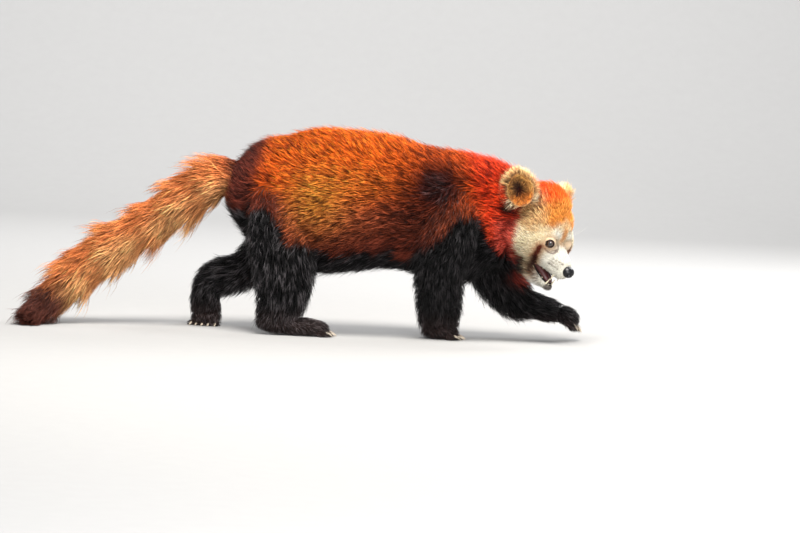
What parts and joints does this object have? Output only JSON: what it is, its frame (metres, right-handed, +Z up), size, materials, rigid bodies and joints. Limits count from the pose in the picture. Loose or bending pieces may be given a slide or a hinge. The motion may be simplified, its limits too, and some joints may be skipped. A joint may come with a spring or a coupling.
{
  "type": "red panda",
  "caption": "Life-size still model of a red panda in mid stride, its head low and turned, mouth open, one forefoot reaching ahead.",
  "frame": {"origin": "on the floor, below the middle of the whole model's box", "axes": "+X from tail to head, +Y to the animal's left, +Z up"},
  "size_m": [0.7828, 0.1824, 0.2895],
  "materials": {
    "red_coat": "dense coarse fur, orange red above and maroon on the rump",
    "black_coat": "dense black fur with bare pale claws",
    "tail_coat": "long fur, faintly ringed buff and rust, dark at the tip",
    "face_coat": "short fur, white muzzle and brows, orange forehead, dark tear stripes",
    "nose_skin": "moist leathery black",
    "mouth": "moist dark pink",
    "eye": "polished dark brown"
  },
  "bodies": {
    "root": {"torso": "red_coat", "neck": "red_coat", "head": "face_coat", "lower_jaw": "face_coat", "ear_left": "face_coat", "ear_right": "face_coat", "nose": "nose_skin", "tongue": "mouth", "eye_left": "eye", "eye_right": "eye", "tail": "tail_coat", "front_leg_left": "black_coat", "front_leg_right": "black_coat", "hind_leg_left": "black_coat", "hind_leg_right": "black_coat", "paw_front_left": "black_coat", "paw_front_right": "black_coat", "paw_hind_left": "black_coat", "paw_hind_right": "black_coat"}
  },
  "joints": []
}
